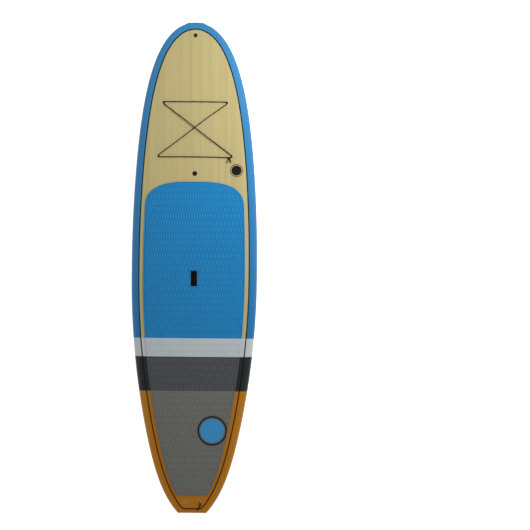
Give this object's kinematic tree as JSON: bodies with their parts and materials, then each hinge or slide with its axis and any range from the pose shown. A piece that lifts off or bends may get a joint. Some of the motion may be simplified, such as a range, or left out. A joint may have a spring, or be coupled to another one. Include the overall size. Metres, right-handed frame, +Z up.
{
  "type": "stand up paddleboard",
  "caption": "Rigid bamboo-skinned paddleboard with a textured deck pad, carry handle, bungee lashing, vent, leash plugs and three empty fin boxes.",
  "frame": {"origin": "under the middle of the board's length, on its centre plane, at the lowest point of the bottom", "axes": "+Y to the nose, +X to starboard, +Z up from the bottom to the deck"},
  "size_m": [0.825, 3.1998, 0.1939],
  "materials": {
    "core_foam": "matte",
    "block_foam": "matte",
    "stringer_wood": "matte",
    "deck_bamboo": "gloss",
    "bottom_bamboo": "gloss",
    "rail_paint": "gloss",
    "pad_blue": "matte",
    "pad_white": "matte",
    "pad_dark": "matte",
    "pad_grey": "matte",
    "black_plastic": "satin",
    "black_rubber": "matte",
    "pale_plastic": "satin",
    "stainless": "satin",
    "box_plastic": "satin",
    "brass_plate": "satin",
    "bungee_cover": "matte",
    "string_cover": "matte"
  },
  "bodies": {
    "hull": {"bottom_veneer_port": "bottom_bamboo", "bottom_veneer_starboard": "bottom_bamboo", "bungee_cord": "bungee_cover", "bungee_knot": "bungee_cover", "bungee_pin_front_port": "stainless", "bungee_pin_front_starboard": "stainless", "bungee_pin_rear_port": "stainless", "bungee_pin_rear_starboard": "stainless", "bungee_plug_front_port": "pale_plastic", "bungee_plug_front_starboard": "pale_plastic", "bungee_plug_rear_port": "pale_plastic", "bungee_plug_rear_starboard": "pale_plastic", "core_port": "core_foam", "core_starboard": "core_foam", "deck_pad_dark_band": "pad_dark", "deck_pad_main": "pad_blue", "deck_pad_tail": "pad_grey", "deck_pad_white_band": "pad_white", "deck_veneer_port": "deck_bamboo", "deck_veneer_starboard": "deck_bamboo", "fin_block_center": "block_foam", "fin_block_port": "block_foam", "fin_block_starboard": "block_foam", "fin_box_center": "box_plastic", "fin_box_port": "box_plastic", "fin_box_starboard": "box_plastic", "handle_block": "block_foam", "handle_cup": "black_plastic", "handle_grip": "black_rubber", "leash_knot": "string_cover", "leash_pin_port": "stainless", "leash_pin_starboard": "stainless", "leash_plug_port": "pale_plastic", "leash_plug_starboard": "pale_plastic", "leash_string": "string_cover", "nose_pin": "stainless", "nose_plug": "black_plastic", "rail_port": "rail_paint", "rail_starboard": "rail_paint", "stringer": "stringer_wood", "vent_housing": "black_plastic"},
    "vent_seal": {"vent_seal": "black_rubber"},
    "vent_screw": {"vent_screw": "black_plastic"},
    "fin_nut_plate_center": {"fin_nut_plate_center": "brass_plate"},
    "fin_nut_plate_port": {"fin_nut_plate_port": "brass_plate"},
    "fin_nut_plate_starboard": {"fin_nut_plate_starboard": "brass_plate"},
    "fin_screw_center": {"fin_screw_center": "stainless"},
    "fin_screw_port": {"fin_screw_port": "stainless"},
    "fin_screw_starboard": {"fin_screw_starboard": "stainless"}
  },
  "joints": [
    {"name": "vent_screw_lift", "type": "slide", "parent": "hull", "child": "vent_seal", "axis": [0, -0.0325, 0.9995], "range_m": [0, 0.01]},
    {"name": "vent_screw_turn", "type": "hinge", "parent": "vent_seal", "child": "vent_screw", "pos_m": [0, 0.623, 0.12221], "axis": [0, -0.0325, 0.9995], "range_deg": [0, 2880]},
    {"name": "fin_nut_center_slide", "type": "slide", "parent": "hull", "child": "fin_nut_plate_center", "axis": [0, 0.998, -0.0636], "range_m": [0, 0.207]},
    {"name": "fin_screw_center_turn", "type": "hinge", "parent": "fin_nut_plate_center", "child": "fin_screw_center", "pos_m": [0, -1.44479, 0.03961], "axis": [0, -0.0636, -0.998], "continuous": true},
    {"name": "fin_nut_port_slide", "type": "slide", "parent": "hull", "child": "fin_nut_plate_port", "axis": [0.0519, 0.9951, -0.0841], "range_m": [0, 0.075]},
    {"name": "fin_screw_port_turn", "type": "hinge", "parent": "fin_nut_plate_port", "child": "fin_screw_port", "pos_m": [-0.23802, -1.21281, 0.02946], "axis": [-0.1327, -0.0766, -0.9882], "continuous": true},
    {"name": "fin_nut_starboard_slide", "type": "slide", "parent": "hull", "child": "fin_nut_plate_starboard", "axis": [-0.0519, 0.9951, -0.0841], "range_m": [0, 0.075]},
    {"name": "fin_screw_starboard_turn", "type": "hinge", "parent": "fin_nut_plate_starboard", "child": "fin_screw_starboard", "pos_m": [0.23802, -1.21281, 0.02946], "axis": [0.1327, -0.0766, -0.9882], "continuous": true}
  ],
  "couplings": [
    {"joint": "vent_screw_turn", "follows": "vent_screw_lift", "rad_per_m": 5026.5}
  ]
}
